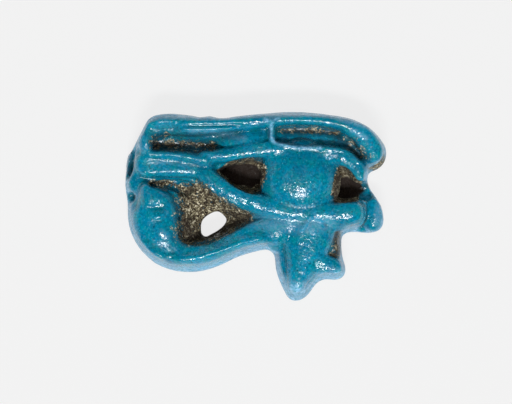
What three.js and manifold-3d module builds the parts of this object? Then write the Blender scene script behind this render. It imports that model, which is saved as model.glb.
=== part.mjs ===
// A wedjat eye amulet of blue-glazed quartz paste, lying on its flat back with its face up.
//
// The maker built it wet, in three layers that were luted together and fired as one:
// a back plate with a soft-edged flat back, an openwork core of coarse paste, and on the core
// the rolled strips and pellets that draw the eye. A stringing hole runs the length of the
// amulet, half in the plate and half in the core, and shows through both corners of the eye.
//
// Millimetres. +X is the viewer's right, +Y points to the brow, +Z comes out of the face.
// The origin is the middle of the flat back's bounding box.
import * as THREE from "three";
import { mergeVertices } from "three/addons/utils/BufferGeometryUtils.js";
import Module from "manifold-3d";

const wasm = await Module();
wasm.setup();

// Overall size of the silhouette
const length = 26.2;
const height = 18.9;

// Layers, from the flat back up
const plateThickness = 2.8;
const plateEdgeRadius = 0.6;
const coreThickness = 2.2;

// The core narrows to its top edge, which leans towards the brow
const coreDraft = 0.45;
const coreLean = 0.25;

// Rise of each strip or pellet above the layer that it is luted to
const cosmeticLineRise = 1.2;
const browRise = 1.45;
const upperLidRise = 1.35;
const lowerLidRise = 1.45;
const bridgeRise = 1.1;
const curlRise = 1.6;
const tailRise = 1.3;
const dropRise = 1.35;
const spurRise = 1.1;
const pupilRise = 2.05;
const lobeRise = 1.4;

// The pellet on the curl stands this far above the curl's crown, with a round dimple pressed in it
const knobRise = 0.35;
const dimpleRadius = 1.0;
const dimpleDepth = 0.35;

// Stringing hole, and the openings that the maker pierced
const boreRadius = 0.95;
const boreMouthFlare = 0.55;
const boreMouthDepth = 1.6;
const eyePocketDepth = 0.9;
const grooveDepth = 1.1;
const browCellDepth = 0.4;
const sideNotchRadius = 0.55;

// Slurry joint between neighbours, how far a cutter runs past what it cuts, and how close two
// points lie to be one
const lutingGap = 0.06;
const cutOverrun = 1.0;
const weldDistance = 1e-5;

// Facets
const outlineFacets = 144;
const holeFacets = 40;
const stripStations = 18;
const stripCapSteps = 3;
const crownFacets = 8;
const roundFacets = 32;
const edgeFacets = 3;

// Heights that follow from the layers
const plateTop = plateThickness;
const coreTop = plateTop + coreThickness;
const aboveAll = coreTop + pupilRise + cutOverrun;

// The silhouette, clockwise from the blunt outer end of the brow. Every place is given as shares
// of the silhouette's box: across from its left edge, up from its lowest point.
const silhouetteShares = [
  [0.067, 0.910], [0.093, 0.968], [0.143, 0.989], [0.250, 0.984], [0.288, 0.971], [0.322, 0.981],
  [0.360, 0.968], [0.451, 0.981], [0.524, 0.992], [0.623, 1.000], [0.764, 0.989], [0.859, 0.966],
  [0.931, 0.921], [0.977, 0.857], [1.000, 0.794], [0.992, 0.735], [0.966, 0.698], [0.935, 0.683],
  [0.926, 0.646], [0.939, 0.593], [0.966, 0.540], [0.983, 0.481], [0.989, 0.423], [0.977, 0.378],
  [0.935, 0.360], [0.863, 0.368], [0.832, 0.349], [0.827, 0.296], [0.832, 0.228], [0.844, 0.164],
  [0.832, 0.122], [0.802, 0.111], [0.764, 0.116], [0.730, 0.090], [0.699, 0.032], [0.669, 0.003],
  [0.634, 0.005], [0.611, 0.053], [0.590, 0.116], [0.577, 0.180], [0.575, 0.238], [0.550, 0.272],
  [0.497, 0.262], [0.432, 0.233], [0.356, 0.185], [0.280, 0.156], [0.192, 0.159], [0.120, 0.196],
  [0.067, 0.259], [0.029, 0.339], [0.011, 0.429], [0.010, 0.508], [0.004, 0.571], [0.000, 0.640],
  [0.006, 0.720], [0.017, 0.783], [0.036, 0.825],
];

// The two corners of the eye, and the three-cornered opening under it with its hole at the back
const outerCornerShares = [
  [0.356, 0.688], [0.387, 0.725], [0.432, 0.749], [0.478, 0.759], [0.520, 0.757], [0.547, 0.725],
  [0.556, 0.672], [0.547, 0.614], [0.524, 0.574], [0.493, 0.563], [0.451, 0.579], [0.410, 0.611],
  [0.379, 0.651],
];
const innerCornerShares = [
  [0.806, 0.704], [0.832, 0.714], [0.863, 0.683], [0.886, 0.635], [0.901, 0.587], [0.893, 0.540],
  [0.859, 0.524], [0.821, 0.519], [0.796, 0.550], [0.789, 0.608], [0.794, 0.667],
];
const cheekRimShares = [
  [0.207, 0.612], [0.265, 0.635], [0.314, 0.598], [0.356, 0.550], [0.410, 0.511], [0.459, 0.474],
  [0.490, 0.447], [0.459, 0.415], [0.410, 0.373], [0.364, 0.341], [0.307, 0.320], [0.250, 0.307],
  [0.215, 0.325], [0.204, 0.376], [0.209, 0.423], [0.212, 0.487], [0.204, 0.545],
];
const cheekHoleShares = [
  [0.291, 0.420], [0.310, 0.450], [0.352, 0.476], [0.375, 0.460], [0.390, 0.431], [0.383, 0.405],
  [0.360, 0.376], [0.330, 0.352], [0.307, 0.336], [0.291, 0.349], [0.287, 0.384],
];

// The crescent groove that runs out of the three-cornered opening, as a strip's spine
const grooveShares = [[0.105, 0.616, 0.016], [0.158, 0.619, 0.026], [0.234, 0.598, 0.042]];

// The two cells of the brow, pressed into the core, and the scallop in front of the stringing hole
const outerCellShares = [
  [0.101, 0.884], [0.173, 0.892], [0.211, 0.857], [0.307, 0.852], [0.387, 0.841], [0.402, 0.810],
  [0.371, 0.788], [0.242, 0.791], [0.120, 0.796], [0.101, 0.825],
];
const innerCellShares = [
  [0.577, 0.934], [0.669, 0.937], [0.775, 0.926], [0.836, 0.889], [0.882, 0.820], [0.912, 0.757],
  [0.890, 0.741], [0.855, 0.788], [0.798, 0.820], [0.684, 0.815], [0.589, 0.836], [0.573, 0.884],
];
const boreScallopShares = [
  [-0.055, 0.820], [0.048, 0.820], [0.040, 0.783], [0.036, 0.725], [0.029, 0.672], [0.010, 0.635],
  [-0.055, 0.624],
];

// The end of the plate that the core leaves bare at the nose, clockwise
const noseStepShares = [
  [0.924, 0.640], [1.040, 0.640], [1.040, 0.320], [0.870, 0.330], [0.886, 0.381], [0.913, 0.415],
  [0.924, 0.471], [0.920, 0.529], [0.918, 0.587],
];

// The stringing hole's two ends, and the notch in the side below its outer end
const boreOuterEndShares = [0.017, 0.730];
const boreNoseEndShares = [0.943, 0.577];
const sideNotchShares = [0.024, 0.550];

// Spines of the strips: places across and up, and the half width as a share of the height
const cosmeticLineShares = [
  [0.090, 0.725, 0.071], [0.166, 0.728, 0.074], [0.250, 0.720, 0.069], [0.299, 0.709, 0.058],
];
const browShares = [
  [0.082, 0.820, 0.040], [0.093, 0.878, 0.048], [0.128, 0.921, 0.050], [0.204, 0.923, 0.050],
  [0.288, 0.923, 0.048], [0.383, 0.931, 0.042], [0.478, 0.942, 0.037], [0.570, 0.952, 0.032],
  [0.676, 0.955, 0.029], [0.768, 0.947, 0.032], [0.844, 0.921, 0.042], [0.905, 0.878, 0.061],
  [0.939, 0.815, 0.066], [0.950, 0.772, 0.056],
];
const upperLidShares = [
  [0.307, 0.762, 0.037], [0.410, 0.772, 0.040], [0.497, 0.794, 0.042], [0.573, 0.799, 0.045],
  [0.669, 0.783, 0.045], [0.764, 0.783, 0.045], [0.825, 0.762, 0.050], [0.867, 0.720, 0.053],
  [0.893, 0.672, 0.050], [0.901, 0.646, 0.042],
];
const lowerLidShares = [
  [0.310, 0.667, 0.050], [0.352, 0.614, 0.053], [0.402, 0.571, 0.053], [0.463, 0.534, 0.056],
  [0.535, 0.503, 0.058], [0.630, 0.471, 0.058], [0.737, 0.460, 0.061], [0.825, 0.460, 0.071],
  [0.867, 0.466, 0.066],
];
const bridgeShares = [[0.562, 0.942, 0.016], [0.564, 0.889, 0.016], [0.562, 0.841, 0.016]];
const curlShares = [
  [0.086, 0.587, 0.042], [0.116, 0.503, 0.114], [0.120, 0.407, 0.124], [0.143, 0.333, 0.122],
];
const tailShares = [
  [0.585, 0.372, 0.078], [0.509, 0.357, 0.073], [0.425, 0.304, 0.063], [0.345, 0.259, 0.058],
  [0.272, 0.243, 0.056], [0.205, 0.259, 0.056],
];
const dropShares = [
  [0.702, 0.376, 0.143], [0.693, 0.286, 0.124], [0.680, 0.206, 0.096], [0.661, 0.122, 0.061],
  [0.657, 0.090, 0.048],
];
const spurShares = [[0.722, 0.212, 0.062], [0.764, 0.190, 0.060], [0.799, 0.176, 0.052]];
const knobShares = [[0.101, 0.492, 0.045], [0.139, 0.487, 0.042]];
const lobeShares = [[0.953, 0.525, 0.036], [0.957, 0.465, 0.050], [0.950, 0.410, 0.052]];

// The pupil: across and up, then half its length and half its height
const pupilShares = [0.669, 0.635, 0.140, 0.175];

// Powers that shape a strip: how flat the crown of a thin one and of a broad one is, how its end
// falls, and how sharp a furrow is. Then the furrow's depth as a share of the rise.
const thinCrown = 0.55;
const broadCrown = 0.85;
const endFall = 0.6;
const furrowSharpness = 8;
const furrowShare = 0.22;

// The foot of an eye pocket, as a share of its rim
const pocketFootShare = 0.72;

function place(acrossShare, upShare) {
  return new THREE.Vector2((acrossShare - 0.5) * length, (upShare - 0.5) * height);
}

// A closed geometry as a solid that can be cut and joined.
function solidOf(geometry) {
  const bare = new THREE.BufferGeometry();
  bare.setAttribute("position", geometry.getAttribute("position"));
  if (geometry.index) bare.setIndex(geometry.index);
  const merged = mergeVertices(bare, weldDistance);
  return new wasm.Manifold(new wasm.Mesh({
    numProp: 3,
    vertProperties: new Float32Array(merged.getAttribute("position").array),
    triVerts: new Uint32Array(merged.index.array),
  }));
}

function geometryOf(solid) {
  const mesh = solid.getMesh();
  const geometry = new THREE.BufferGeometry();
  geometry.setAttribute("position", new THREE.BufferAttribute(mesh.vertProperties, 3));
  geometry.setIndex(new THREE.BufferAttribute(mesh.triVerts, 1));
  geometry.computeVertexNormals();
  return geometry;
}

function cutFrom(solid, cutters) {
  return cutters.reduce((left, cutter) => left.subtract(cutter), solid);
}

// A smooth closed line through places given as shares, evenly stepped.
function smoothLoop(shares, facets) {
  const knots = shares.map(([across, up]) => {
    const knot = place(across, up);
    return new THREE.Vector3(knot.x, knot.y, 0);
  });
  const loop = new THREE.CatmullRomCurve3(knots, true, "centripetal");
  return loop.getSpacedPoints(facets).slice(0, facets).map((p) => new THREE.Vector2(p.x, p.y));
}

// A clockwise loop drawn in by a distance, along the bisector at each of its points.
function drawnIn(loop, distance) {
  return loop.map((point, i) => {
    const before = loop[(i + loop.length - 1) % loop.length];
    const after = loop[(i + 1) % loop.length];
    const along = after.clone().sub(before).normalize();
    return new THREE.Vector2(point.x + along.y * distance, point.y - along.x * distance);
  });
}

function moved(loop, x, y) {
  return loop.map((point) => new THREE.Vector2(point.x + x, point.y + y));
}

// A loop drawn towards its middle.
function narrowed(loop, share) {
  const middle = loop.reduce((sum, p) => sum.add(p), new THREE.Vector2()).divideScalar(loop.length);
  return loop.map((point) => point.clone().lerp(middle, 1 - share));
}

// An upright wall around a loop, between two heights.
function prism(loop, low, high) {
  const settings = { depth: high - low, bevelEnabled: false };
  return solidOf(new THREE.ExtrudeGeometry(new THREE.Shape(loop), settings).translate(0, 0, low));
}

// A sloping wall from one clockwise loop to another with as many points, capped at both.
function frustum(lowLoop, highLoop, low, high) {
  const corners = lowLoop.length;
  const points = [...lowLoop.flatMap((p) => [p.x, p.y, low]), ...highLoop.flatMap((p) => [p.x, p.y, high])];
  const faces = [];
  for (const [a, b, c] of THREE.ShapeUtils.triangulateShape(lowLoop, [])) faces.push(a, c, b);
  for (const [a, b, c] of THREE.ShapeUtils.triangulateShape(highLoop, [])) {
    faces.push(corners + a, corners + b, corners + c);
  }
  for (let i = 0; i < corners; i++) {
    const next = (i + 1) % corners;
    faces.push(i, corners + i, next, next, corners + i, corners + next);
  }
  const geometry = new THREE.BufferGeometry();
  geometry.setAttribute("position", new THREE.Float32BufferAttribute(points, 3));
  geometry.setIndex(faces);
  return solidOf(geometry);
}

// A slab around a loop, its lower edge rounded and its top edge square.
function softSlab(loop, low, high, edgeRadius) {
  const geometry = new THREE.ExtrudeGeometry(new THREE.Shape(loop), {
    depth: high - low - edgeRadius,
    bevelEnabled: true,
    bevelThickness: edgeRadius,
    bevelSize: edgeRadius,
    bevelOffset: -edgeRadius,
    bevelSegments: edgeFacets,
  });
  const rounded = solidOf(geometry.translate(0, 0, low + edgeRadius));
  const lid = new THREE.BoxGeometry(length + cutOverrun, height + cutOverrun, edgeRadius + cutOverrun);
  return rounded.subtract(solidOf(lid.translate(0, 0, high + (edgeRadius + cutOverrun) / 2)));
}

// Rings with as many points each, skinned into one closed body between two tips.
function skinRings(rings, firstTip, lastTip) {
  const corners = rings[0].length;
  const points = [...rings.flat(), firstTip, lastTip];
  const first = points.length - 2;
  const last = points.length - 1;
  const end = (rings.length - 1) * corners;
  const faces = [];
  for (let i = 0; i < corners; i++) {
    const next = (i + 1) % corners;
    faces.push(first, i, next, last, end + next, end + i);
    for (let here = 0; here < end; here += corners) {
      const there = here + corners;
      faces.push(here + i, there + next, here + next, here + i, there + i, there + next);
    }
  }
  const geometry = new THREE.BufferGeometry();
  const position = new THREE.Float32BufferAttribute(points.flatMap((p) => p.toArray()), 3);
  geometry.setAttribute("position", position);
  geometry.setIndex(faces);
  return solidOf(geometry);
}

// A strip's section, from edge to edge over its crown. A furrow makes two ridges of the crown.
function stripSection(centre, side, halfWidth, low, crown, { flatness, furrow }) {
  const ring = [];
  for (let i = 0; i <= crownFacets; i++) {
    const turn = (Math.PI * i) / crownFacets;
    const across = -Math.cos(turn) * halfWidth;
    const arch = Math.sin(turn) ** flatness * (1 - furrow * Math.sin(turn) ** furrowSharpness);
    ring.push(new THREE.Vector3(centre.x + side.x * across, centre.y + side.y * across, low + crown * arch));
  }
  return ring;
}

// The sections of a strip's rounded end, from the spine's end to the tip.
function stripEnd(end, heading, low, crown, form) {
  const side = new THREE.Vector2(-heading.y, heading.x);
  const ahead = (reach) => new THREE.Vector2(end.x, end.y).addScaledVector(heading, end.z * reach);
  const rings = [];
  for (let step = 1; step < stripCapSteps; step++) {
    const turn = (Math.PI / 2) * (step / stripCapSteps);
    const fall = Math.cos(turn) ** endFall;
    rings.push(stripSection(ahead(Math.sin(turn)), side, end.z * Math.cos(turn), low, crown * fall, form));
  }
  const tip = ahead(1);
  return { rings, tip: new THREE.Vector3(tip.x, tip.y, low) };
}

// A rolled strip pressed on to a flat seat, along a spine that carries its half width as a third
// coordinate. Grown by a clearance, it is the cutter that makes room for it in a neighbour.
function rolledStrip(spineShares, seat, rise, { flatness = thinCrown, furrow = 0, grow = 0 } = {}) {
  const knots = spineShares.map(([across, up, halfWidthShare]) => {
    const knot = place(across, up);
    return new THREE.Vector3(knot.x, knot.y, halfWidthShare * height + grow);
  });
  const spine = new THREE.CatmullRomCurve3(knots, false, "centripetal");
  const low = seat - grow;
  const crown = rise + 2 * grow;
  const headingAt = (share) => {
    const tangent = spine.getTangent(share);
    return new THREE.Vector2(tangent.x, tangent.y).normalize();
  };
  const form = { flatness, furrow };
  const start = stripEnd(spine.getPoint(0), headingAt(0).negate(), low, crown, form);
  const finish = stripEnd(spine.getPoint(1), headingAt(1), low, crown, form);
  const rings = start.rings.reverse().map((ring) => ring.reverse());
  for (let station = 0; station <= stripStations; station++) {
    const heading = headingAt(station / stripStations);
    const at = spine.getPoint(station / stripStations);
    rings.push(stripSection(at, new THREE.Vector2(-heading.y, heading.x), at.z, low, crown, form));
  }
  return skinRings([...rings, ...finish.rings], start.tip, finish.tip);
}

// The loops that the layers share
const plateLoop = smoothLoop(silhouetteShares, outlineFacets);
const coreLoop = moved(drawnIn(plateLoop, coreDraft), 0, coreLean);
const cheekRimLoop = smoothLoop(cheekRimShares, holeFacets);
const cheekHoleLoop = smoothLoop(cheekHoleShares, holeFacets);
const noseStepLoop = smoothLoop(noseStepShares, holeFacets);

// A wire drawn straight through the joint of plate and core, flared where it went in.
function makeStringingHole() {
  const from = place(...boreOuterEndShares);
  const run = place(...boreNoseEndShares).sub(from);
  const bore = new THREE.CylinderGeometry(boreRadius, boreRadius, run.length() + 2 * cutOverrun, roundFacets)
    .rotateZ(Math.PI / 2)
    .translate(run.length() / 2, 0, 0);
  const mouthRadius = boreRadius + boreMouthFlare;
  const mouth = new THREE.CylinderGeometry(mouthRadius, boreRadius, boreMouthDepth, roundFacets)
    .rotateZ(Math.PI / 2)
    .translate(boreMouthDepth / 2, 0, 0);
  const lay = (geometry) => solidOf(geometry.rotateZ(run.angle()).translate(from.x, from.y, plateTop));
  return lay(bore).add(lay(mouth));
}

// Beyond the inner corner the core is open over the stringing hole, down to the plate.
function makeBoreExit() {
  const from = place(...innerCornerShares[0]);
  const to = place(...boreNoseEndShares);
  const run = to.clone().sub(place(...boreOuterEndShares));
  const reach = to.x - from.x + cutOverrun;
  const slot = new THREE.BoxGeometry(reach, 2 * boreRadius, aboveAll - plateTop)
    .translate(cutOverrun - reach / 2, 0, 0)
    .rotateZ(run.angle());
  return solidOf(slot.translate(to.x, to.y, (aboveAll + plateTop) / 2));
}

// An opening that slopes from its rim on the core down to a smaller foot.
function makeFunnel(footLoop, rimLoop, low) {
  return frustum(footLoop, rimLoop, low, coreTop).add(prism(rimLoop, coreTop, aboveAll));
}

function makeEyeCorner(shares) {
  const rimLoop = smoothLoop(shares, holeFacets);
  return makeFunnel(narrowed(rimLoop, pocketFootShare), rimLoop, plateTop - eyePocketDepth);
}

function makeSideNotch() {
  const at = place(...sideNotchShares);
  const depth = aboveAll - plateTop;
  const notch = new THREE.CylinderGeometry(sideNotchRadius, sideNotchRadius, depth, roundFacets);
  return solidOf(notch.rotateX(Math.PI / 2).translate(at.x, at.y, plateTop + depth / 2));
}

const stringingHole = makeStringingHole();
const eyeCorners = [makeEyeCorner(outerCornerShares), makeEyeCorner(innerCornerShares)];
const coreOpenings = [
  ...eyeCorners,
  makeFunnel(cheekHoleLoop, cheekRimLoop, plateTop),
  rolledStrip(grooveShares, coreTop - grooveDepth, aboveAll - coreTop + grooveDepth),
  prism(noseStepLoop, plateTop - cutOverrun, aboveAll),
  makeBoreExit(),
  makeSideNotch(),
  prism(smoothLoop(boreScallopShares, holeFacets), plateTop, aboveAll),
];

// The back plate: a slab patted out flat, its back edge softened, and pierced while wet.
function makeBackPlate() {
  const slab = softSlab(plateLoop, 0, plateTop, plateEdgeRadius);
  const cheekHole = prism(cheekHoleLoop, -cutOverrun, plateTop + cutOverrun);
  return cutFrom(slab, [stringingHole, ...eyeCorners, cheekHole]);
}

// The core: a second slab of coarser paste, whose sandy body shows where no glaze reached.
function makeCoreSlab() {
  const cells = [outerCellShares, innerCellShares].map((shares) => {
    const loop = smoothLoop(shares, holeFacets);
    return prism(loop, coreTop - browCellDepth, aboveAll);
  });
  const slab = frustum(plateLoop, coreLoop, plateTop, coreTop);
  return cutFrom(slab, [stringingHole, ...coreOpenings, ...cells]);
}

const broad = { flatness: broadCrown };
const furrowed = { furrow: furrowShare };

// Each strip in turn is pressed against those laid before it, and trimmed at the openings.
const coreEdge = prism(coreLoop, coreTop - cutOverrun, aboveAll);
const laid = [];
function layStrip(spineShares, rise, form = {}) {
  const strip = rolledStrip(spineShares, coreTop, rise, form).intersect(coreEdge);
  const fitted = cutFrom(strip, [...coreOpenings, ...laid]);
  laid.push(rolledStrip(spineShares, coreTop, rise, { ...form, furrow: 0, grow: lutingGap }));
  return fitted;
}

// The pupil: a ball of paste pressed to an oval dome between the lids.
function makePupil() {
  const profile = [new THREE.Vector2(0, 0), new THREE.Vector2(1, 0)];
  for (let step = 1; step < crownFacets; step++) {
    const turn = (Math.PI / 2) * (step / crownFacets);
    profile.push(new THREE.Vector2(Math.cos(turn) ** broadCrown, Math.sin(turn)));
  }
  profile.push(new THREE.Vector2(0, 1));
  const [across, up, halfLengthShare, halfHeightShare] = pupilShares;
  const at = place(across, up);
  const dome = new THREE.LatheGeometry(profile, roundFacets)
    .rotateX(Math.PI / 2)
    .scale(halfLengthShare * length, halfHeightShare * height, pupilRise)
    .translate(at.x, at.y, coreTop);
  return cutFrom(solidOf(dome), [...coreOpenings, ...laid]);
}

// The knob: a small pellet bedded on the curl, from half way up its side to just above its crown,
// and dimpled with a round tool.
function makeCurlKnob() {
  const seat = coreTop + curlRise / 2;
  const crown = coreTop + curlRise + knobRise;
  const [from, to] = knobShares.map(([across, up]) => place(across, up));
  const middle = from.add(to).divideScalar(2);
  const tool = new THREE.SphereGeometry(dimpleRadius, roundFacets, roundFacets / 2)
    .rotateX(Math.PI / 2)
    .translate(middle.x, middle.y, crown - dimpleDepth + dimpleRadius);
  const pellet = rolledStrip(knobShares, seat, crown - seat);
  return cutFrom(pellet, [...laid, solidOf(tool)]);
}

// The lobe: a strip on the bare nose end of the plate, below the core's edge.
function makeNoseLobe() {
  const bareEnd = prism(drawnIn(noseStepLoop, lutingGap), plateTop, coreTop);
  const lobe = rolledStrip(lobeShares, plateTop, lobeRise, broad).intersect(bareEnd);
  return cutFrom(lobe.intersect(prism(plateLoop, plateTop, coreTop)), [stringingHole]);
}

function turquoiseGlaze() {
  return new THREE.MeshStandardMaterial({ color: 0x0b8fb4, roughness: 0.18, metalness: 0 });
}

function bareBody() {
  return new THREE.MeshStandardMaterial({ color: 0x6e5f43, roughness: 0.95, metalness: 0 });
}

const glaze = turquoiseGlaze();
const pieces = [
  ["back_plate", makeBackPlate(), glaze],
  ["core_slab", makeCoreSlab(), bareBody()],
  ["cosmetic_line", layStrip(cosmeticLineShares, cosmeticLineRise, furrowed), glaze],
  ["brow_bar", layStrip(browShares, browRise), glaze],
  ["upper_lid", layStrip(upperLidShares, upperLidRise), glaze],
  ["lower_lid", layStrip(lowerLidShares, lowerLidRise), glaze],
  ["brow_bridge", layStrip(bridgeShares, bridgeRise), glaze],
  ["tail_curl", layStrip(curlShares, curlRise, broad), glaze],
  ["tail_band", layStrip(tailShares, tailRise), glaze],
  ["cheek_drop", layStrip(dropShares, dropRise, broad), glaze],
  ["cheek_spur", layStrip(spurShares, spurRise), glaze],
  ["pupil", makePupil(), glaze],
  ["curl_knob", makeCurlKnob(), glaze],
  ["nose_lobe", makeNoseLobe(), glaze],
];

const amulet = new THREE.Group();
for (const [name, solid, material] of pieces) {
  const mesh = new THREE.Mesh(geometryOf(solid), material);
  mesh.name = name;
  amulet.add(mesh);
}

export default amulet;
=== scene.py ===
import math

import bpy
import numpy as np
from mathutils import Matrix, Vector


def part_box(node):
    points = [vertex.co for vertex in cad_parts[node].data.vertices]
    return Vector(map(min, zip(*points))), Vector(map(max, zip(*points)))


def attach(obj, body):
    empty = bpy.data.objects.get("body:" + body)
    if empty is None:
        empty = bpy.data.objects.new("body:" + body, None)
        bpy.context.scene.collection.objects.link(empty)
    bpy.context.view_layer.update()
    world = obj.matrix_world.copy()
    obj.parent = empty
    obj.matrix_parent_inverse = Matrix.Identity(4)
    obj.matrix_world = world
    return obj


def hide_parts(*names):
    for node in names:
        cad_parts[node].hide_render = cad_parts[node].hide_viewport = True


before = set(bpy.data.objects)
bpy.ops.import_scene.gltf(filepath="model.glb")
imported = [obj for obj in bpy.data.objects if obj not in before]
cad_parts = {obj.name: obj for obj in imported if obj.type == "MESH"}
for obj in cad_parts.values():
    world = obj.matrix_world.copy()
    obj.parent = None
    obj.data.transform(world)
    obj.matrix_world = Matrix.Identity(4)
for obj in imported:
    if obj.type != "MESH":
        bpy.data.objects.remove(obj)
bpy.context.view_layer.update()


# The back plate: a flat layer of damp quartz paste, patted out on a table. All the rest is luted to
# it with slurry. Its edge shows below the core at the nose and round the stringing hole's mouth.
# The bench is at one unit to the millimetre, because no remesh is this fine in metres.
BENCH = 1000
WELD = 0.0001
SLURRY = 0.045
SLIP_SEGMENTS = 32
SLIP_RINGS = 16
wet_pieces = []


def select_only(*objects):
    bpy.ops.object.select_all(action="DESELECT")
    for obj in objects:
        obj.select_set(True)
    bpy.context.view_layer.objects.active = objects[0]


def apply_modifier(obj, kind, **settings):
    select_only(obj)
    modifier = obj.modifiers.new(kind, kind)
    for name, value in settings.items():
        setattr(modifier, name, value)
    bpy.ops.object.modifier_apply(modifier=modifier.name)


def bench_copy(node_name, prefix):
    copy = bpy.data.objects.new(prefix + node_name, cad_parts[node_name].data.copy())
    bpy.context.scene.collection.objects.link(copy)
    copy.scale = (BENCH, BENCH, BENCH)
    select_only(copy)
    bpy.ops.object.transform_apply(location=False, rotation=False, scale=True)
    bpy.ops.object.mode_set(mode="EDIT")
    bpy.ops.mesh.select_all(action="SELECT")
    bpy.ops.mesh.remove_doubles(threshold=WELD)
    bpy.ops.object.mode_set(mode="OBJECT")
    return copy


def lute(node_name):
    """Lays a piece on with its coat of slurry."""
    wet = bench_copy(node_name, "wet_")
    apply_modifier(wet, "DISPLACE", mid_level=0, strength=SLURRY)
    wet_pieces.append(wet)


def slip(middle, half_sizes):
    """Runs slip into a joint. Its middle is given across, up and above the back."""
    bpy.ops.mesh.primitive_uv_sphere_add(segments=SLIP_SEGMENTS, ring_count=SLIP_RINGS, location=middle,
                                         scale=half_sizes)
    bpy.ops.object.transform_apply()
    wet_pieces.append(bpy.context.active_object)


# The finish is noted as dabs of four kinds: bare body; dark pits, which also paint shade into holes,
# creases and recesses; glaze that is worn or ran thin, which also paints sheen, highlights and the
# room's reflection on pale rims; and glaze that went dull. A dab's strength falls off with the
# distance from a line, or from a patch's outline, and stops at a height above the back. Lines are
# lists of places in millimetres in plan.
BARE, PIT_AND_SHADE, WORN_AND_SHEEN, DULL = range(4)
ABOVE_ALL = 20
dabs = []


def dab(mark, line, reach, soft=0.4, share=1, high=ABOVE_ALL):
    dabs.append((mark, line, False, reach, soft, share, high))


def patch(mark, outline, soft=0.4, share=1, high=ABOVE_ALL):
    dabs.append((mark, outline + outline[:1], True, 0, soft, share, high))


lute("back_plate")
slip((-12.75, 3.7, 0.3), (0.42, 1.8, 0.6))
# The stringing hole's mouth and the side notch below it are painted dark, as the shade in them.
patch(PIT_AND_SHADE, [(-13.4, 6.2), (-12.3, 5.9), (-12.5, 3.4), (-13.0, 2.6), (-13.6, 2.6)], 0.4, 0.35, high=5)
dab(PIT_AND_SHADE, [(-12.7, 1.1)], 0.3, 0.4, 0.4)
dab(BARE, [(11.3, 4.2), (12.0, 4.0), (12.8, 4.6)], 0.35, 1.5, high=4.6)


# The core: a slab of coarser paste on the plate, pierced with a point. Its cells, its three-cornered
# opening and the corners of the eye took little glaze, and show the sandy body; their floors and
# depths are also painted dark as shade. What tool and finger do to the wet skin is noted too: along
# which line, how much, and how far to each side it is felt.
strokes = []
rubs = []


def stroke(line, height, reach):
    strokes.append((line, height, reach))


def rubbed(line, reach, share=1):
    rubs.append((line, reach, share))


# In plan: the left cell's floor, the bare corners of the eye with their floors painted dark as shade,
# the bare three-cornered opening, and the groove above the curl
CELL = [(-10.1, 6.25), (-8.4, 6.15), (-6.2, 6.1), (-4.3, 6.05)]
OUTER_CORNER = [(-3.8, 3.5), (-2.4, 4.6), (-0.4, 4.85), (0.8, 4.2), (1.1, 3.2), (0.5, 1.7), (-0.8, 1.2),
                (-2.6, 2.3)]
INNER_CORNER = [(7.9, 0.5), (7.5, 1.1), (7.4, 2.0), (7.7, 2.9), (8.1, 3.7), (8.6, 4.1), (9.4, 3.7),
                (10.0, 3.0), (10.5, 2.5), (10.7, 1.6), (10.3, 0.8), (9.4, 0.2), (8.6, 0.1)]
OUTER_DEPTH = [(-3.9, 3.65), (-3.2, 4.05), (-2.1, 4.25), (-0.6, 4.35), (0.2, 4.05), (0.6, 3.55),
               (0.7, 2.85), (0.3, 2.35), (-0.3, 1.85), (-1.1, 2.05), (-2.0, 2.15), (-2.6, 2.55),
               (-3.2, 3.15)]
INNER_DEPTH = [(8.1, 1.2), (8.1, 2.3), (8.5, 2.9), (9.2, 3.1), (9.9, 2.6), (10.6, 2.3), (11.0, 1.6),
               (10.0, 0.9), (8.9, 0.7)]
FUNNEL = [(-7.3, 2.2), (-5.6, 2.35), (-4.4, 1.65), (-3.1, 0.65), (-1.8, -0.15), (-0.4, -0.85),
          (-0.4, -1.15), (-1.8, -1.95), (-3.1, -2.75), (-4.6, -3.35), (-6.6, -3.75), (-7.7, -3.3),
          (-7.6, -2.1), (-7.5, -0.9), (-7.5, 0.1), (-7.7, 1.1)]
GROOVE = [(-10.4, 2.35), (-9.2, 2.4), (-8.2, 2.2), (-7.2, 1.7)]

lute("core_slab")
stroke([(-9.8, 6.3), (-7.0, 6.15), (-4.4, 6.1)], -0.3, 0.8)
stroke([(-9.9, 6.9), (-8.9, 7.1)], -0.25, 0.5)
stroke([(-3.0, 6.4), (0.6, 6.7)], 0.4, 1.1)
stroke([(-7.4, 1.9), (-6.8, 1.2)], -0.35, 0.8)
rubbed(CELL, 1.3, 0.3)
dab(DULL, [(2.2, 7.75), (5.4, 7.75), (8.4, 7.45)], 0.25, 0.6)
rubbed([(-10.5, 7.3), (-8.4, 7.6)], 0.9)
rubbed([(-3.4, 6.2), (-1.2, 6.0), (0.8, 6.4)], 0.9)
stroke([(-11.0, 8.5), (-8.4, 8.6)], 0.22, 0.9)
stroke([(-10.7, 7.5), (-8.2, 7.75)], -0.3, 0.9)
dab(DULL, [(-11.0, 6.2), (-10.4, 7.3), (-9.4, 7.8), (-7.9, 7.9)], 0.3, 1.4)
dab(DULL, [(-10.8, 8.9), (-8.6, 8.9)], 0.5, 1.2)
rubbed([(-7.7, 0.9), (-7.5, -1.2), (-7.7, -3.2)], 0.9)
dab(BARE, CELL, 0.3, 1.2, 0.8)
dab(BARE, [(-10.1, 6.9), (-8.9, 7.15)], 0.2, 1.1, 0.5)
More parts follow.
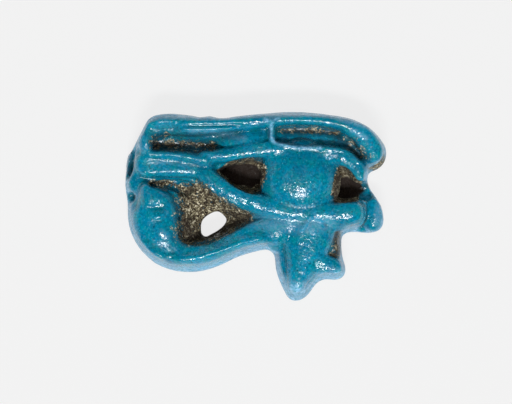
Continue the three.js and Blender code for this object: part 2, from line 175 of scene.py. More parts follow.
# Painted shade: the left cell's floor and pocket, and a strip by the bridge, are darkened, with dark
# pits.
dab(PIT_AND_SHADE, CELL, 0.5, 1.2, 0.72)
dab(PIT_AND_SHADE, [(-10.1, 6.9), (-8.9, 7.15), (-3.6, 6.9), (-1.6, 7.1)], 0.3, 1.2, 0.5)
stroke([(2.5, 7.6), (5.4, 7.6), (8.2, 7.3)], -0.45, 0.8)
dab(BARE, [(2.6, 7.65), (5.4, 7.65), (8.2, 7.35)], 0.3, 0.6, 0.48)
dab(BARE, [(8.2, 7.2), (10.2, 5.4)], 0.3, 0.6, 0.3)
# Painted shade along the right cell's floor and down the brow's inner bend, with dark pits.
dab(PIT_AND_SHADE, [(3.0, 7.5), (5.4, 7.5), (7.4, 7.3), (9.0, 6.4), (10.2, 5.0)], 0.3, 1.0, 0.68)
dab(BARE, [(9.8, 6.4), (10.6, 5.2), (11.0, 4.8)], 0.3, 1, 0.45)
dab(PIT_AND_SHADE, [(9.4, 6.5), (10.2, 5.6), (11.0, 4.8)], 0.3, 1, 0.5)
patch(BARE, OUTER_CORNER, 0.6, high=6)
patch(BARE, INNER_CORNER, 0.6, high=6)
# The depths of the eye's corners are painted dark, as the shade in the holes.
patch(PIT_AND_SHADE, OUTER_DEPTH, 0.25)
patch(PIT_AND_SHADE, INNER_DEPTH, 0.25, high=4.8)
# Painted shade on the inner corner's rim, and where the hole runs out by the nose.
dab(PIT_AND_SHADE, [(8.0, 0.5), (7.9, 2.0), (8.3, 3.0)], 0.3, 0.6, 0.75)
dab(PIT_AND_SHADE, [(10.6, 1.9), (12.0, 2.4)], 0.3, 0.9, 0.75, high=4.6)
patch(BARE, FUNNEL, 1.2)
dab(BARE, [(-7.9, 0.8), (-7.8, -1.2), (-8.0, -3.0)], 0.3, 1.3, 0.42)
# Painted shade down the opening's wall under the curl.
dab(PIT_AND_SHADE, [(-7.4, -0.2), (-7.2, -2.0), (-7.1, -3.2)], 0.2, 0.9, 0.55)
dab(BARE, GROOVE, 0.3, 0.6, 0.8)
# Painted shade: the opening's bottom and the wall below it, which faces away from the light, are
# darkened.
dab(PIT_AND_SHADE, [(-6.9, -1.6), (-6.6, -3.1), (-4.6, -2.9), (-2.4, -1.9), (-0.8, -1.1)], 0.4, 0.9, 0.85)
dab(PIT_AND_SHADE, [(-2.6, -0.8), (-0.8, -1.0)], 0.3, 0.9, 0.6)


# The cosmetic line: a broad strip from the outer end to the eye. Two fingers drawn along it left
# a crest at each edge, and its ends are smoothed away into the plate and the lids.
lute("cosmetic_line")
rubbed([(-12.3, 5.8), (-12.3, 2.9)], 1.1)
rubbed([(-5.2, 4.9), (-4.6, 4.0), (-5.0, 3.2)], 1.2)
rubbed([(-11, 4.9), (-6, 4.8)], 0.9, 0.6)
stroke([(-10.6, 5.3), (-8.6, 5.2), (-6.6, 4.9), (-5.0, 4.4)], 0.3, 0.7)
dab(DULL, [(-8.7, 5.3), (-6.6, 5.2), (-4.7, 5.1)], 0.15, 0.5)
dab(DULL, [(-10.8, 4.35), (-8.0, 4.3), (-5.6, 4.0)], 0.2, 0.5)


# The brow: a rolled strip along the top, patted down to a broad block at its outer end and turned
# down at the nose. A furrow drawn along its left half leaves a second, lower crest.
lute("brow_bar")
stroke([(-7.4, 8.35), (-4.0, 8.4), (0, 8.6)], 0.06, 0.5)
stroke([(-6.8, 7.9), (-4.0, 7.95), (-1.6, 8.05)], -0.1, 0.32)
stroke([(-7.0, 7.5), (-4.6, 7.5), (-2.4, 7.6)], 0.22, 0.6)
rubbed([(9.4, 7.6), (11.0, 6.9)], 1.1)
# Painted highlights: a pale broken band on the lower crest and a patch on the turned-down end. Painted
# reflection: a pale line along the top edge.
dab(WORN_AND_SHEEN, [(-6.4, 7.5), (-4.4, 7.35), (-2.6, 7.1), (-1.2, 6.75)], 0.2, 0.7, 0.4)
dab(WORN_AND_SHEEN, [(9.6, 7.5), (10.9, 6.8)], 0.2, 0.5, 0.45)
dab(WORN_AND_SHEEN, [(-11.4, 8.9), (-7, 9.1), (0, 9.2), (7, 9.2), (11.5, 7.8), (12.9, 5.8)], 0.25, 0.5, 0.5)


# The bridge between the cells: a thin wall of paste, and the crisp edge that a stick drew on from
# its foot along the upper lid. Its crest is painted pale, for wear that took the glaze off and as a
# painted highlight.
BRIDGE = [(1.6, 8.3), (1.5, 7.8), (1.45, 6.9), (1.9, 6.4), (2.9, 6.15), (4.2, 5.85), (6.4, 5.85)]
LID_EDGE = [(6.4, 5.85), (8.9, 5.65), (9.6, 5.15), (10.2, 4.45)]

lute("brow_bridge")
for place in BRIDGE[::2]:
    stroke([place], 0.1, 0.6)
stroke(BRIDGE, 0.16, 0.45)
stroke(LID_EDGE, 0.15, 0.45)
dab(WORN_AND_SHEEN, [(0.9, 8.65), *BRIDGE], 0.15, 0.4, 0.95)
dab(WORN_AND_SHEEN, [(2.3, 8.8), (1.65, 8.5)], 0.1, 0.3, 0.8)


# The upper lid: a strip of paste luted on over the eye, and smoothed down into the pupil so that
# only its ends stand clear. The inner end is a rounded finger at the nose.
lute("upper_lid")
rubbed([(2.2, 4.4), (4.4, 4.6), (7.0, 4.2)], 1.9)
rubbed([(6.6, 5.4), (7.9, 5.1)], 0.9)


# The lower lid: the long ridge from the line to the nose, a rolled strip luted on. A point drawn
# along its foot left a fine second edge, and painted shade darkens the crease that parts its rounded
# end from the lobe.
lute("lower_lid")
stroke([(-5.1, 2.2), (-4.1, 1.3), (-2.8, 0.7), (-1.6, -0.1), (-0.4, -0.75)], 0.12, 0.25)
dab(PIT_AND_SHADE, [(10.5, 0.6), (11.0, -0.2), (11.1, -1.2), (10.7, -1.9)], 0.05, 0.3, 0.9)


# The pupil: a pellet of paste pressed to a dome between the lids. Slip fills the joints round it, at
# the lids' ends and along the brow, so that eye and lids are one broad bulge.
lute("pupil")
slip((4.5, 2.6, 4.77), (3.9, 4.2, 2.25))
slip((2.3, 2.8, 4.7), (1.9, 3.2, 1.35))
slip((6.9, 2.6, 4.7), (1.6, 2.8, 1.3))
slip((4.4, 4.5, 4.8), (3.6, 1.6, 1.75))
slip((10.3, 3.6, 4.9), (0.95, 1.3, 1.4))
slip((-1.0, 6.5, 4.7), (2.6, 1.3, 0.85))
rubbed([(3.8, 2.5), (5.4, 2.4)], 2.2)
dab(DULL, [(2.6, 0.1), (4.2, -0.1), (6.4, 0.0)], 0.25, 0.5)
rubbed([(1.9, 4.6), (1.8, 2.8), (1.9, 1.0)], 1.4)
rubbed([(7.1, 4.2), (7.1, 2.4), (7.0, 1.0)], 0.9)


# The curl: a strip coiled flat, luted on at the tail's end and smoothed to one broad boss. Its rim
# was pinched up a little along the outer side.
CURL_RIM = [(-11.6, -3.6), (-10.6, -4.7), (-9.2, -5.4), (-7.6, -5.6), (-5.4, -5.1), (-3.2, -4.3),
            (-1.2, -3.6), (0.4, -3.4)]

lute("tail_curl")
slip((-7.9, -4.9, 4.9), (1.0, 1.1, 0.95))
stroke(CURL_RIM, 0.5, 1.0)
rubbed(CURL_RIM, 1.0)
rubbed([(-10.0, -3.8), (-8.2, -4.2)], 1.0)
rubbed([(-11.9, 1.6), (-11.7, -3.2)], 1.6)
rubbed([(-11.3, 1.9), (-10.4, 1.2), (-8.8, 0.9)], 1.0)
stroke([(-9.5, -2.6), (-8.8, -3.0)], 0.2, 1.2)
stroke([(-10.0, -4.9), (-9.0, -5.2), (-8.0, -5.3)], 0.2, 1.7)
dab(DULL, [(-9.8, -3.9), (-8.0, -4.3)], 0.4, 0.9, 0.5)
# A pale patch on the curl's lower slope is painted sheen.
dab(WORN_AND_SHEEN, [(-9.2, -2.5), (-8.7, -2.9)], 0.1, 0.8, 0.4)


# The coil's inner end: a low boss that stands on the curl. A fingertip pressed a dimple into it,
# whose upper side catches the light.
lute("curl_knob")
rubbed([(-10.4, -0.1), (-9.3, -0.1)], 1.4)
stroke([(-10.7, -0.15), (-9.3, -0.1)], -0.4, 1.0)
stroke([(-8.9, -0.6), (-9.4, -1.1), (-10.0, -1.1)], 0.12, 0.35)


# The band from the curl to the cheek: a rolled strip, laid and luted along the lower edge of the
# three-cornered opening. Slip runs its end into the drop.
lute("tail_band")
slip((2.0, -3.0, 4.8), (1.2, 1.6, 1.0))


# The drop under the eye: a broad tapered pat of paste, run into the lower lid above it. Its shoulder
# is painted with a grey sheen over thin glaze, its tip is painted pale as wear and as the room's
# reflection, and a scratch in the shape of a Y crosses it.
lute("cheek_drop")
slip((3.4, -1.7, 4.8), (3.7, 1.8, 1.45))
slip((7.9, -1.4, 4.8), (1.8, 1.2, 1.25))
dab(BARE, [(8.0, -2.6), (8.1, -4.6), (7.6, -5.0)], 0.35, 0.8, 0.6, high=5.4)
dab(PIT_AND_SHADE, [(8.0, -2.6), (8.1, -4.6), (7.6, -5.0)], 0.5, 0.8, 0.7, high=5.4)
dab(WORN_AND_SHEEN, [(-0.4, -1.3), (2.4, -1.8), (5.2, -1.9), (7.2, -1.7)], 0.7, 0.9, 0.3)
dab(WORN_AND_SHEEN, [(3.5, -8.3), (4.9, -8.4)], 0.7, 1.3, 0.85)
stroke([(5.4, -1.1), (4.6, -2.3)], 0.2, 0.3)
stroke([(7.0, -1.7)], -0.15, 0.5)


# The spur beside the drop, and the lobe on the plate's nose end: two small pats of paste, luted on
# last and rounded off with the finger. Both are painted pale along the outer edge, as wear and as the
# room's reflection.
lute("cheek_spur")
dab(WORN_AND_SHEEN, [(6.3, -6.9), (8.3, -6.6)], 0.3, 0.8, 0.6)
rubbed([(6.0, -5.7), (7.6, -5.9)], 1.0, 0.7)
lute("nose_lobe")
dab(WORN_AND_SHEEN, [(12.2, -1.6), (12.4, 0)], 0.3, 0.8, 0.4)
rubbed([(11.7, 0.6), (11.9, -1.8)], 1.5)


# Worked wet: the pieces run together under a damp finger, rubbed places and flanks are wiped for
# longer, and the strokes are taken up, with the unevenness of work by hand. Strokes and rubs only
# reach the face, and the back stays flat on the table.
SKIN_VOXEL = 0.09
WIPE = 0.5
WIPES = 26
RUB_WIPES = 150
FLANK_WIPES = 60
STROKE_WIPES = 3
FLANK_REACH = 1.1
EDGE_HEIGHTS = (0.9, 1.1)
EDGE_PLACES = 400
FACE_FROM = 2.2
FACE_RISE = 1.4
WAVES = ((2.6, 0.09), (0.8, 0.04))
BACK_EASE = 0.08
FACING_DOWN = -0.5


def wipe(obj, times, **where):
    apply_modifier(obj, "SMOOTH", factor=WIPE, iterations=times, **where)


select_only(*wet_pieces)
bpy.ops.object.join()
body = bpy.context.active_object
body.name = "body"
body.data.materials.clear()
apply_modifier(body, "REMESH", mode="VOXEL", voxel_size=SKIN_VOXEL)
wipe(body, WIPES)


def points_of(obj):
    points = np.empty(len(obj.data.vertices) * 3, np.float32)
    obj.data.vertices.foreach_get("co", points)
    return points.reshape(-1, 3)


def normals_of(obj):
    normals = np.empty(len(obj.data.vertices) * 3, np.float32)
    obj.data.vertex_normals.foreach_get("vector", normals)
    return normals.reshape(-1, 3)


def distance_in_plan(points, line):
    nearest = np.full(len(points), np.inf, np.float32)
    for (ax, ay), (bx, by) in zip(line, line[1:] or line):
        along = np.array((bx - ax, by - ay), np.float32)
        start = points[:, :2] - np.array((ax, ay), np.float32)
        share = np.clip(start @ along / max(along @ along, WELD), 0, 1)
        nearest = np.minimum(nearest, np.hypot(*(start - share[:, None] * along).T))
    return nearest


def inside(points, outline):
    x, y = points[:, 0], points[:, 1]
    within = np.zeros(len(points), bool)
    for (ax, ay), (bx, by) in zip(outline, outline[1:] + outline[:1]):
        if ay != by:
            crosses = (ay > y) != (by > y)
            within ^= crosses & (x < (bx - ax) * (y - ay) / (by - ay) + ax)
    return within


def eased(share):
    share = np.clip(share, 0, 1)
    return share * share * (3 - 2 * share)


def group_of(obj, name, weights):
    group = obj.vertex_groups.new(name=name)
    for index in np.flatnonzero(weights > WELD):
        group.add([int(index)], float(weights[index]), "REPLACE")
    return group.name


def flank_of(points):
    """How much of a flank each point is, by its distance in plan from the plate's outer edge."""
    low, high = EDGE_HEIGHTS
    edge = points[(points[:, 2] > low) & (points[:, 2] < high)]
    edge = edge[~inside(edge, FUNNEL)]
    edge = edge[::max(1, len(edge) // EDGE_PLACES)]
    nearest = np.full(len(points), np.inf, np.float32)
    for place in edge:
        nearest = np.minimum(nearest, np.hypot(*(points[:, :2] - place[:2]).T))
    return eased(1 - nearest / FLANK_REACH)


skin = points_of(body)
on_face = eased((skin[:, 2] - FACE_FROM) / FACE_RISE)
lift = sum(height * eased(1 - distance_in_plan(skin, line) / reach) for line, height, reach in strokes)
lift *= on_face
rub = np.zeros(len(skin), np.float32)
for line, reach, share in rubs:
    rub = np.maximum(rub, share * eased(1 - distance_in_plan(skin, line) / reach))
rub *= on_face
wipe(body, RUB_WIPES, vertex_group=group_of(body, "rub", rub))
flank = flank_of(skin)
wipe(body, FLANK_WIPES, vertex_group=group_of(body, "flank", flank))
deepest = float(np.abs(lift).max())
for name, sign in (("raised", 1), ("pressed", -1)):
    weights = np.clip(sign * lift, 0, None) / deepest
    apply_modifier(body, "DISPLACE", direction="Z", mid_level=0, strength=sign * deepest,
                   vertex_group=group_of(body, name, weights))
wipe(body, STROKE_WIPES)
for size, depth in WAVES:
    unevenness = bpy.data.textures.new("unevenness", "CLOUDS")
    unevenness.noise_scale = size
    unevenness.noise_depth = 1
    apply_modifier(body, "DISPLACE", texture=unevenness, strength=depth)

skin = points_of(body)
skin[(skin[:, 2] < BACK_EASE) & (normals_of(body)[:, 2] < FACING_DOWN), 2] = 0
skin[:, 2] = np.maximum(skin[:, 2], 0)
body.data.vertices.foreach_set("co", skin.ravel())
body.data.update()


# In the kiln the glaze ran off what stands out, and pooled in what lies deep, where it is also darkened
# as painted shade. The steep flanks near the edge are painted pale, as glaze that ran thin and as the
# bright room's reflection, most where they face up. Each point of the skin keeps its marks, and how
# far it stands out of its surroundings. The back lay on the table and took no marks.
MARK_FADE = 0.3
POOLING_ROUNDS = 40
FULL_RELIEF = 0.09
LEVEL = 0.8
STEEPENING = 0.5
FLANK_WEAR_AND_SHEEN = 0.9
FOOT_WEAR_AND_SHEEN = 0.35
SHOULDER_LEAN = 0.25


def marks_at(points):
    marks = np.zeros((len(points), 4), np.float32)
    for mark, line, closed, reach, soft, share, high in dabs:
        distance = distance_in_plan(points, line)
        if closed:
            distance[inside(points, line)] *= -1
        strength = share * eased((reach - distance) / soft + 0.5)
        strength *= eased((high - points[:, 2]) / MARK_FADE + 0.5)
        marks[:, mark] = np.maximum(marks[:, mark], strength)
    return marks


def relief_of(obj):
    worn_down = bpy.data.objects.new("worn_down", obj.data.copy())
    bpy.context.scene.collection.objects.link(worn_down)
    wipe(worn_down, POOLING_ROUNDS)
    relief = ((points_of(obj) - points_of(worn_down)) * normals_of(obj)).sum(axis=1)
    bpy.data.objects.remove(worn_down)
    return relief


finish = marks_at(skin)
upright = normals_of(body)[:, 2]
steep = eased((LEVEL - np.abs(upright)) / STEEPENING)
shoulder = FOOT_WEAR_AND_SHEEN + (1 - FOOT_WEAR_AND_SHEEN) * eased(upright / SHOULDER_LEAN)
# Painted reflection: the steep flanks near the edge are painted pale, less where they face down.
finish[:, WORN_AND_SHEEN] = np.maximum(finish[:, WORN_AND_SHEEN], FLANK_WEAR_AND_SHEEN * steep * flank * shoulder)
finish[skin[:, 2] == 0] = 0
relief = np.clip(0.5 + 0.5 * relief_of(body) / FULL_RELIEF, 0, 1)
for name, values in (("finish", finish), ("relief", np.repeat(relief, 4))):
    attribute = body.data.color_attributes.new(name, "FLOAT_COLOR", "POINT")
    attribute.data.foreach_set("color", values.ravel())


# Glazed quartz paste: soda-lime glass coloured by copper, grown out of the body in the kiln. It is
# clear and deep where it pooled, with painted shade in its hollows, pale where it ran thin, and its
# skin is glossy but grainy.
PLACES = "ShaderNodeTexCoord"
ATTRIBUTE = "ShaderNodeAttribute"
SPLIT = "ShaderNodeSeparateColor"
NOISE = "ShaderNodeTexNoise"
CELLS = "ShaderNodeTexVoronoi"
SPREAD = "ShaderNodeMapRange"
MATH = "ShaderNodeMath"
MIX = "ShaderNodeMix"

GLOSSY = 0.16
MATT = 0.85

# The patterns' real sizes in millimetres
CLOUD = 3.2
SWELL = 1.1
MOTTLE = 0.9
SPECK = 0.6
DULL_SPOT = 0.34
SALT = 0.32
PEBBLE = 0.28
GRAIN = 0.26
QUARTZ = 0.2
SILT = 0.11


def linear(hex_colour):
    channels = [int(hex_colour[i:i + 2], 16) / 255 for i in (1, 3, 5)]
    curve = [c / 12.92 if c <= 0.04045 else ((c + 0.055) / 1.055) ** 2.4 for c in channels]
    return (*curve, 1)


def add(tree, kind, **settings):
    """Adds a node and gives its outputs. A setting is named for an attribute, an input or an input's
    number, such as _0, and is a value, a hex colour or a socket that is linked to it."""
    node = tree.nodes.new(kind)
    for name, value in settings.items():
        if hasattr(node, name):
            setattr(node, name, value)
            continue
        socket = node.inputs[int(name[1:]) if name[0] == "_" else name.replace("_", " ")]
        if isinstance(value, bpy.types.NodeSocket):
            tree.links.new(value, socket)
        elif isinstance(value, str):
            socket.default_value = linear(value)
        else:
            socket.default_value = value
    return node.outputs


def make_glazed_paste():
    material = bpy.data.materials.new("alkaline_copper_glaze")
    material.use_nodes = True
    tree = material.node_tree
    shader = tree.nodes["Principled BSDF"]
    place = add(tree, PLACES)["Object"]
    kept = add(tree, ATTRIBUTE, attribute_name="finish")
    bare_mark, pit_and_shade_mark, worn_and_sheen_mark = add(tree, SPLIT, Color=kept["Color"])
    dull_mark = kept["Alpha"]
    relief = add(tree, ATTRIBUTE, attribute_name="relief")["Fac"]

    clouds = add(tree, NOISE, Vector=place, Scale=BENCH / CLOUD, Detail=3)[0]
    mottle = add(tree, NOISE, Vector=place, Scale=BENCH / MOTTLE, Detail=3, Roughness=0.6)[0]
    grain = add(tree, NOISE, Vector=place, Scale=BENCH / GRAIN, Detail=3, Roughness=0.65)[0]
    dull_spots = add(tree, NOISE, Vector=place, Scale=BENCH / DULL_SPOT, Detail=2, Roughness=0.6)[0]
    pebbles = add(tree, NOISE, Vector=place, Scale=BENCH / PEBBLE, Detail=1.5, Roughness=0.45)[0]
    swells = add(tree, NOISE, Vector=place, Scale=BENCH / SWELL, Detail=0)[0]
    specks = add(tree, CELLS, Vector=place, Scale=BENCH / SPECK)["Distance"]
    salt = add(tree, CELLS, Vector=place, Scale=BENCH / SALT)["Distance"]
    quartz = add(tree, CELLS, Vector=place, Scale=BENCH / QUARTZ)
    silt = add(tree, CELLS, Vector=place, Scale=BENCH / SILT)

    # What each pattern or mark counts for: two of its levels, and the amounts that they stand for.
    # Roughness and heights in millimetres are among the amounts
    amount = {}
    for name, source, low, high, at_low, at_high in (
            ("blue", clouds, 0.35, 0.65, 0, 1),
            ("green", mottle, 0.4, 0.65, 0, 0.7),
            ("dark_grain", grain, 0.4, 0.65, 0, 0.6),
            ("pooled_and_shade", relief, 0.46, 0.15, 0, 0.75),
            ("proud", relief, 0.6, 1, 0, 0.5),
            ("thin_grain", grain, 0.35, 0.6, 0.2, 1),
            ("worn_sheen_grain", grain, 0.38, 0.58, 0.1, 1),
            ("worn_sheen_mottle", mottle, 0.35, 0.6, 0.6, 1),
            ("specks", specks, 0.17, 0.08, 0, 0.7),
            ("salt", salt, 0.18, 0.1, 0, 0.5),
            ("drift", mottle, 0.3, 0.7, -0.15, 0.15),
            ("ragged_grain", grain, 0.3, 0.7, -0.4, 0.4),
            ("ragged_mottle", mottle, 0.3, 0.7, -0.3, 0.3),
            ("near_bare", bare_mark, 0.02, 0.2, 0, 1),
            ("rim", bare_mark, 0, 0.6, 0, 0.7),
            ("worn_sheen_blur", worn_and_sheen_mark, 0, 1, 0, 0.2),
            ("dull_blur", dull_mark, 0, 1, 0, 0.17),
            ("spot_blur", dull_spots, 0.5, 0.6, 0, 0.18),
            ("pebbles", pebbles, 0, 1, 0, 0.058),
            ("swells", swells, 0, 1, 0, 0.1),
            ("stones", quartz["Distance"], 0, 0.7, 0.05, 0)):
        amount[name] = add(tree, SPREAD, Value=source, From_Min=low, From_Max=high, To_Min=at_low,
                           To_Max=at_high)[0]

    # Sand: quartz grains from dark iron to pale, each of its own tint
    quartz_tint = add(tree, SPLIT, Color=quartz["Color"])[0]
    silt_tint = add(tree, SPLIT, Color=silt["Color"])[0]
    both_tints = add(tree, MATH, _0=quartz_tint, _1=silt_tint)[0]
    mean_tint = add(tree, MATH, operation="MULTIPLY", _0=both_tints, _1=0.5)[0]
    tint = add(tree, MATH, _0=mean_tint, _1=amount["drift"])[0]
    sand = tree.nodes.new("ShaderNodeValToRGB")
    tree.links.new(tint, sand.inputs[0])
    stops = sand.color_ramp.elements
    stops[0].position = 0.1
    stops[0].color = linear("#17110C")
    stops[1].position = 0.97
    stops[1].color = linear("#FFF6DA")
    for position, hex_colour in ((0.45, "#463A2A"), (0.75, "#9A9274")):
        stops.new(position).color = linear(hex_colour)

    # Bare body shows where its mark is strong, with an edge made ragged by the grains
    ragged = add(tree, MATH, _0=amount["ragged_grain"], _1=amount["ragged_mottle"])[0]
    ragged_tint = add(tree, SPREAD, Value=tint, To_Min=-0.25, To_Max=0.25)[0]
    ragged = add(tree, MATH, _0=ragged, _1=ragged_tint)[0]
    edge = add(tree, MATH, _0=bare_mark, _1=ragged)[0]
    shown = add(tree, SPREAD, Value=edge, From_Min=0.42, From_Max=0.58)[0]
    bare = add(tree, MATH, operation="MULTIPLY", _0=shown, _1=amount["near_bare"])[0]

    # Glaze: teal where it is deep, and darkened in the hollows as painted shade; bluer where it is
    # thin;
    # pale and broken on what stands out and where worn, and painted pale as sheen, highlight and
    # reflection; with dark specks and pale grains in it and a dark rim round the bare body. Dark pits
    # and painted shade go over the sand. Each colour is laid over the last by its share
    thin = add(tree, MATH, operation="MULTIPLY", _0=amount["proud"], _1=amount["thin_grain"])[0]
    broken = add(tree, MATH, operation="MULTIPLY", _0=amount["worn_sheen_grain"],
                 _1=amount["worn_sheen_mottle"])[0]
    worn_and_sheen = add(tree, MATH, operation="MULTIPLY", _0=worn_and_sheen_mark, _1=broken)[0]
    colour = "#00779A"
    for share, over in ((amount["blue"], "#0092B8"), (amount["green"], "#009098"),
                        (amount["dark_grain"], "#00506A"), (amount["pooled_and_shade"], "#004A50"),
                        (thin, "#2A9CBC"), (worn_and_sheen, "#9CD2F8"), (amount["specks"], "#083540"),
                        (amount["salt"], "#5FC4D6"), (amount["rim"], "#0A424C"),
                        (bare, sand.outputs[0]), (pit_and_shade_mark, "#241A14")):
        colour = add(tree, MIX, data_type="RGBA", _0=share, _6=colour, _7=over)[2]
    tree.links.new(colour, shader.inputs["Base Color"])

    # The skin is glossy glass and matt sand. Worn and dull places blur the highlights, and small
    # dull spots break them
    rough = add(tree, SPREAD, Value=bare, To_Min=GLOSSY, To_Max=MATT)[0]
    for more in (amount["worn_sheen_blur"], amount["dull_blur"], amount["spot_blur"]):
        rough = add(tree, MATH, _0=rough, _1=more)[0]
    tree.links.new(rough, shader.inputs["Roughness"])

    # The skin's height: pebbles of quartz under the glaze, soft swells, and bare grains
    under_glaze = add(tree, MATH, _0=amount["pebbles"], _1=amount["swells"])[0]
    stones = add(tree, MATH, operation="MULTIPLY", _0=amount["stones"], _1=bare)[0]
    height = add(tree, MATH, _0=under_glaze, _1=stones)[0]
    bump = add(tree, "ShaderNodeBump", Strength=1, Distance=1 / BENCH, Height=height)
    tree.links.new(bump[0], shader.inputs["Normal"])
    return material


# The joints: the skin is parted again into the pieces that were luted together. Each piece on the
# face is cut out with its own solid, let out to take in the skin over it, but the knob as an oval
# plug. The rest is parted where the core lies on the plate. Glaze closes the joints, a hair wide.
HAIR = 0.002
LET_OUT = 0.3
HEADROOM = 1.2
SEAT_LIFT = 0.12
SEAT_TOLERANCE = 0.01
PLUG_DEPTH = 0.8
PLUG_SIDES = 64
SLIVER_FACES = 20
PLATE_LIFT = 0.2
BLOCK_SIZE = 40
BACK_THINNING = 0.8
SAMPLES = 24
NEARBY = 2
FACE_PIECES = ["curl_knob", "brow_bridge", "pupil", "upper_lid", "lower_lid", "cosmetic_line",
               "brow_bar", "tail_band", "tail_curl", "cheek_spur", "cheek_drop", "nose_lobe"]


def doubled(obj, name):
    copy = bpy.data.objects.new(name, obj.data.copy())
    bpy.context.scene.collection.objects.link(copy)
    return copy


def cut(obj, tool, operation):
    apply_modifier(obj, "BOOLEAN", operation=operation, solver="MANIFOLD", object=tool)


def widened(obj, distance):
    wide = doubled(obj, "wide_" + obj.name)
    apply_modifier(wide, "DISPLACE", mid_level=0, strength=distance)
    return wide


def cutter_for(node_name):
    cutter = bench_copy(node_name, "cutter_")
    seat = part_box(node_name)[0][2] * BENCH
    at_seat = points_of(cutter)[:, 2] < seat + SEAT_TOLERANCE
    apply_modifier(cutter, "DISPLACE", mid_level=0, strength=LET_OUT)
    points = points_of(cutter)
    points[:, 2] = np.where(at_seat, seat + SEAT_LIFT, points[:, 2] + HEADROOM)
    cutter.data.vertices.foreach_set("co", points.ravel())
    return cutter


def plug_for(node_name):
    """An upright oval plug round a piece, which reaches under its seat."""
    low, high = (Vector(corner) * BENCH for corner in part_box(node_name))
    low -= Vector((LET_OUT, LET_OUT, PLUG_DEPTH))
    high += Vector((LET_OUT, LET_OUT, HEADROOM))
    bpy.ops.mesh.primitive_cylinder_add(vertices=PLUG_SIDES, radius=1, depth=2,
                                        location=(low + high) / 2, scale=(high - low) / 2)
    bpy.ops.object.transform_apply()
    return bpy.context.active_object


def boxes_meet(first, second):
    a, b = points_of(first), points_of(second)
    return bool((a.min(0) < b.max(0)).all() and (b.min(0) < a.max(0)).all())


def loose_parts(obj):
    """Parts an object where it is loose, and throws the slivers away."""
    select_only(obj)
    bpy.ops.mesh.separate(type="LOOSE")
    kept = []
    for part in list(bpy.context.selected_objects):
        if len(part.data.polygons) < SLIVER_FACES:
            bpy.data.objects.remove(part)
        else:
            kept.append(part)
    return kept


def holder_of(part):
    """The name of the cutter that holds most of a part."""
    points = points_of(part)
    sample = [Vector(point) for point in points[::max(1, len(points) // SAMPLES)]]

    def held(name):
        count = 0
        for point in sample:
            _, nearest, normal, _ = cutters[name].closest_point_on_mesh(point)
            apart = nearest - point
            count += apart.length < NEARBY and apart.dot(normal) > -HAIR
        return count

    return max(cutters, key=held)


cutters = {}
for name in FACE_PIECES:
    cutter = plug_for(name) if name == "curl_knob" else cutter_for(name)
    for earlier in cutters.values():
        if boxes_meet(cutter, earlier):
            wide = widened(earlier, HAIR)
            cut(cutter, wide, "DIFFERENCE")
            bpy.data.objects.remove(wide)
    cutters[name] = cutter

tools = [doubled(cutter, "tool") for cutter in cutters.values()]
select_only(*tools)
bpy.ops.object.join()
tool = bpy.context.active_object
wide_tool = widened(tool, HAIR / 2)

face = doubled(body, "face")
cut(face, tool, "INTERSECT")
parts = {name: [] for name in FACE_PIECES}
for part in loose_parts(face):
    parts[holder_of(part)].append(part)

core = doubled(body, "core")
cut(core, wide_tool, "DIFFERENCE")
plate = doubled(core, "plate")
joint_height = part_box("back_plate")[1][2] * BENCH + PLATE_LIFT
for rest, edge, side in ((plate, joint_height - HAIR / 2, 1), (core, joint_height + HAIR / 2, -1)):
    bpy.ops.mesh.primitive_cube_add(size=BLOCK_SIZE, location=(0, 0, edge + side * BLOCK_SIZE / 2))
    block = bpy.context.active_object
    cut(rest, block, "DIFFERENCE")
    bpy.data.objects.remove(block)
apply_modifier(plate, "DECIMATE", ratio=BACK_THINNING)
parts["back_plate"] = loose_parts(plate)
parts["core_slab"] = loose_parts(core)

glazed_paste = make_glazed_paste()
for name, pieces in parts.items():
    select_only(*pieces)
    if len(pieces) > 1:
        bpy.ops.object.join()
    piece = bpy.context.active_object
    piece.name = "fired_" + name
    bpy.ops.object.shade_smooth()
    apply_modifier(piece, "DATA_TRANSFER", object=body, use_vert_data=True,
                   data_types_verts={"COLOR_VERTEX"}, vert_mapping="POLYINTERP_NEAREST",
                   use_loop_data=True, data_types_loops={"CUSTOM_NORMAL"},
                   loop_mapping="POLYINTERP_NEAREST")
    piece.data.materials.clear()
    piece.data.materials.append(glazed_paste)
    piece.scale = (1 / BENCH, 1 / BENCH, 1 / BENCH)
    select_only(piece)
    bpy.ops.object.transform_apply(location=False, rotation=False, scale=True)
    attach(piece, "root")
    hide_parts(name)
for scrap in [*cutters.values(), tool, wide_tool, body]:
    bpy.data.objects.remove(scrap)


# The table: a sheet of pale card. It shows near white to the camera and in the glaze, and it
# takes the amulet's soft shadow.
CARD_SIZE = 1.6
CARD_GAP = 0.00002
CARD_PAPER = "#E7E7E7"
CARD_ROUGHNESS = 0.9
CARD_SHOWS = "#F3F3F3"
CARD_SHOWING = 0.9


def make_card():
    material = bpy.data.materials.new("pale_matt_card")
    material.use_nodes = True
    tree = material.node_tree
    paper = tree.nodes["Principled BSDF"]
    paper.inputs["Base Color"].default_value = linear(CARD_PAPER)
    paper.inputs["Roughness"].default_value = CARD_ROUGHNESS
    rays = add(tree, "ShaderNodeLightPath")
    seen = add(tree, MATH, operation="MAXIMUM", _0=rays["Is Camera Ray"], _1=rays["Is Glossy Ray"])[0]
    seen = add(tree, MATH, operation="MAXIMUM", _0=seen, _1=rays["Is Transmission Ray"])[0]
    share = add(tree, MATH, operation="MULTIPLY", _0=seen, _1=CARD_SHOWING)[0]
    glow = add(tree, "ShaderNodeEmission", Color=CARD_SHOWS)[0]
    surface = add(tree, "ShaderNodeMixShader", _0=share, _1=paper.outputs[0], _2=glow)[0]
    tree.links.new(surface, tree.nodes["Material Output"].inputs["Surface"])
    return material


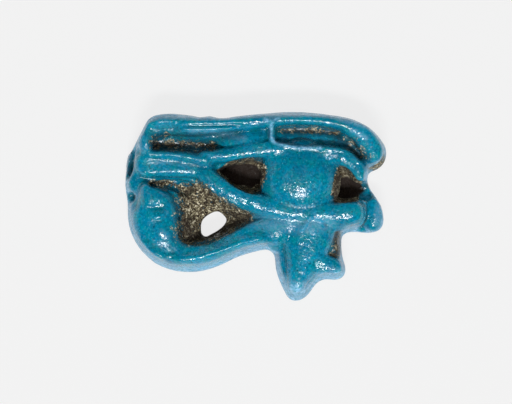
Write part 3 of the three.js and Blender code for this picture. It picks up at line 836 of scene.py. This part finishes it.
bpy.ops.mesh.primitive_plane_add(size=CARD_SIZE, location=(0, 0, -CARD_GAP))
card = bpy.context.active_object
card.name = "card"
card.data.materials.append(make_card())


# The light: a white room that is dim overhead and brightest low on the maker's side, so that the
# glaze shows deep where it faces the camera and pale where it turns away, and one soft box below
# the amulet's foot, whose reflection draws the bright line on each ridge.
ROOM_COLOUR = "#F7FDFF"
HORIZON_LEVEL = 2.2
NEAR_SIDE_GAIN = 1.1
FAR_SIDE_GAIN = 0.9
DARK_FROM = 0.3
BOX_DISTANCE = 0.5
BOX_WIDTH = 0.14
BOX_DEPTH = 0.06
BOX_TILT = 23
BOX_POWER = 2
FILL_HEIGHT = 0.6
FILL_SIZE = 0.5
FILL_POWER = 1

world = bpy.data.worlds.new("white_room")
world.use_nodes = True
bpy.context.scene.world = world
tree = world.node_tree
room = tree.nodes["Background"]
direction = add(tree, PLACES)["Generated"]
_, northward, upward = add(tree, "ShaderNodeSeparateXYZ", Vector=direction)
level = add(tree, SPREAD, Value=upward, From_Min=0, From_Max=DARK_FROM, To_Min=HORIZON_LEVEL,
            To_Max=0)[0]
gain = add(tree, SPREAD, Value=northward, From_Min=-1, From_Max=1, To_Min=NEAR_SIDE_GAIN,
           To_Max=FAR_SIDE_GAIN)[0]
strength = add(tree, MATH, operation="MULTIPLY", _0=level, _1=gain)[0]
tree.links.new(strength, room.inputs["Strength"])
room.inputs["Color"].default_value = linear(ROOM_COLOUR)

tilt = math.radians(BOX_TILT)
place = Vector((0, -math.sin(tilt), math.cos(tilt))) * BOX_DISTANCE
bpy.ops.object.light_add(type="AREA", location=place)
soft_box = bpy.context.active_object
soft_box.name = "soft_box"
soft_box.rotation_euler = place.to_track_quat("Z", "Y").to_euler()
soft_box.data.shape = "RECTANGLE"
soft_box.data.size = BOX_WIDTH
soft_box.data.size_y = BOX_DEPTH
soft_box.data.energy = BOX_POWER

bpy.ops.object.light_add(type="AREA", location=(0, 0, FILL_HEIGHT))
fill = bpy.context.active_object
fill.name = "overhead_fill"
fill.data.size = FILL_SIZE
fill.data.energy = FILL_POWER
fill.visible_glossy = False


# The camera looks square down on the face from above, at ten pixels to the millimetre.
CAMERA_AT = (0.00003, 0.00045, 0.26)
CAMERA_LENS = 180
CAMERA_SENSOR = 36

bpy.ops.object.camera_add(location=CAMERA_AT)
camera = bpy.context.active_object
camera.data.lens = CAMERA_LENS
camera.data.sensor_width = CAMERA_SENSOR
bpy.context.scene.camera = camera
bpy.context.scene.view_settings.view_transform = "Standard"
